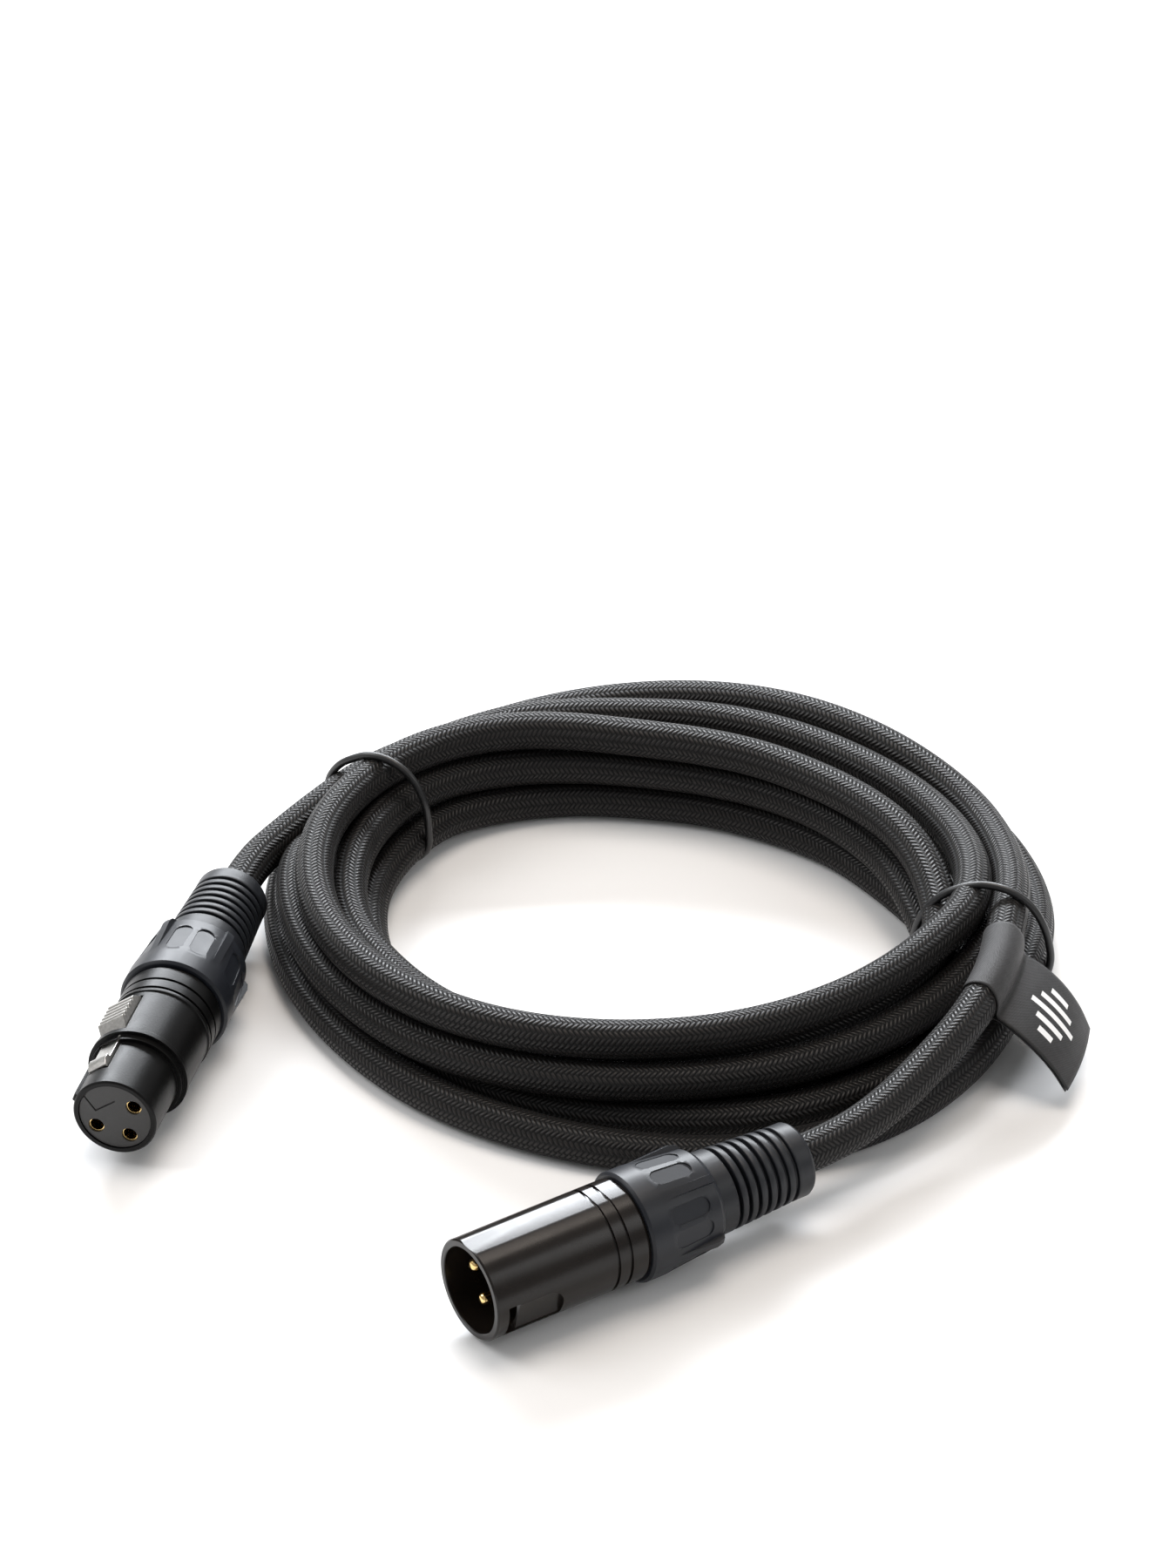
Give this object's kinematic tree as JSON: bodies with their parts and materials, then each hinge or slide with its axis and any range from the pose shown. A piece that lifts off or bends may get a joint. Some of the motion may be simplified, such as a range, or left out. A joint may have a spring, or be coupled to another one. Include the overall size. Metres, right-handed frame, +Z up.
{
  "type": "coiled three-pin audio cable",
  "caption": "Round coil of braided microphone cable, tied with elastic rings, with a three-pin plug, a latching three-pin socket and a folded label.",
  "frame": {"origin": "centre of the round coil, on the surface that it lies on", "axes": "+Z up out of the coil's eye, +X towards the side where the label hangs, +Y away from the two connectors"},
  "size_m": [0.1873, 0.2041, 0.0267],
  "materials": {
    "cable_braid": "woven nylon sleeve over a rubber jacket",
    "tie_rubber": "matt elastic",
    "label_fabric": "smooth charcoal strip with a white level-bar mark",
    "gloss_black_shell": "gloss black coated zinc",
    "satin_black_shell": "satin black coated zinc",
    "dark_insert": "matt moulded insulator",
    "nut_plastic": "satin moulded plastic",
    "boot_rubber": "satin flexible moulding",
    "chuck_plastic": "plain moulded plastic",
    "latch_metal": "nickel plated",
    "contact_gold": "gold plated",
    "hot_insulation": "red insulation",
    "cold_insulation": "white insulation",
    "tinned_braid": "tinned copper strand"
  },
  "bodies": {
    "cable": {"cable_coil": "cable_braid", "plug_lead": "cable_braid", "socket_lead": "cable_braid", "plug_cable_end": "cable_braid", "socket_cable_end": "cable_braid", "tie_right": "tie_rubber", "tie_left": "tie_rubber", "label": "label_fabric", "plug_shell": "gloss_black_shell", "socket_shell": "satin_black_shell", "plug_insert": "dark_insert", "socket_insert": "dark_insert", "plug_chuck": "chuck_plastic", "socket_chuck": "chuck_plastic", "latch_spring": "latch_metal", "plug_pin_1": "contact_gold", "socket_contact_1": "contact_gold", "plug_pin_2": "contact_gold", "socket_contact_2": "contact_gold", "plug_pin_3": "contact_gold", "socket_contact_3": "contact_gold", "plug_hot_wire": "hot_insulation", "plug_cold_wire": "cold_insulation", "plug_shield_wire": "tinned_braid", "socket_hot_wire": "hot_insulation", "socket_cold_wire": "cold_insulation", "socket_shield_wire": "tinned_braid"},
    "plug_boot": {"plug_boot": "boot_rubber"},
    "plug_nut": {"plug_back_nut": "nut_plastic"},
    "socket_boot": {"socket_boot": "boot_rubber"},
    "socket_nut": {"socket_back_nut": "nut_plastic"},
    "latch": {"latch_lever": "latch_metal"}
  },
  "joints": [
    {"name": "plug_boot_slide", "type": "slide", "parent": "cable", "child": "plug_boot", "axis": [0.8348, 0.5505, 0], "range_m": [0, 0.004]},
    {"name": "plug_nut_turn", "type": "hinge", "parent": "plug_boot", "child": "plug_nut", "pos_m": [-0.0072, -0.1048, 0.0106], "axis": [0.8348, 0.5505, 0], "range_deg": [0, 1440]},
    {"name": "socket_boot_slide", "type": "slide", "parent": "cable", "child": "socket_boot", "axis": [0.2538, 0.9673, 0], "range_m": [0, 0.004]},
    {"name": "socket_nut_turn", "type": "hinge", "parent": "socket_boot", "child": "socket_nut", "pos_m": [-0.0898, -0.0387, 0.0106], "axis": [0.2538, 0.9673, 0], "range_deg": [0, 1440]},
    {"name": "latch_press", "type": "hinge", "parent": "cable", "child": "latch", "pos_m": [-0.09606, -0.04636, 0.01626], "axis": [0.7825, -0.2053, 0.5878], "range_deg": [0, 4], "stiffness_Nm_per_rad": 0.05, "springref_deg": -1.72, "deforming": ["latch_spring"]}
  ],
  "couplings": [
    {"joint": "plug_nut_turn", "follows": "plug_boot_slide", "rad_per_m": 6283.2},
    {"joint": "socket_nut_turn", "follows": "socket_boot_slide", "rad_per_m": 6283.2}
  ]
}
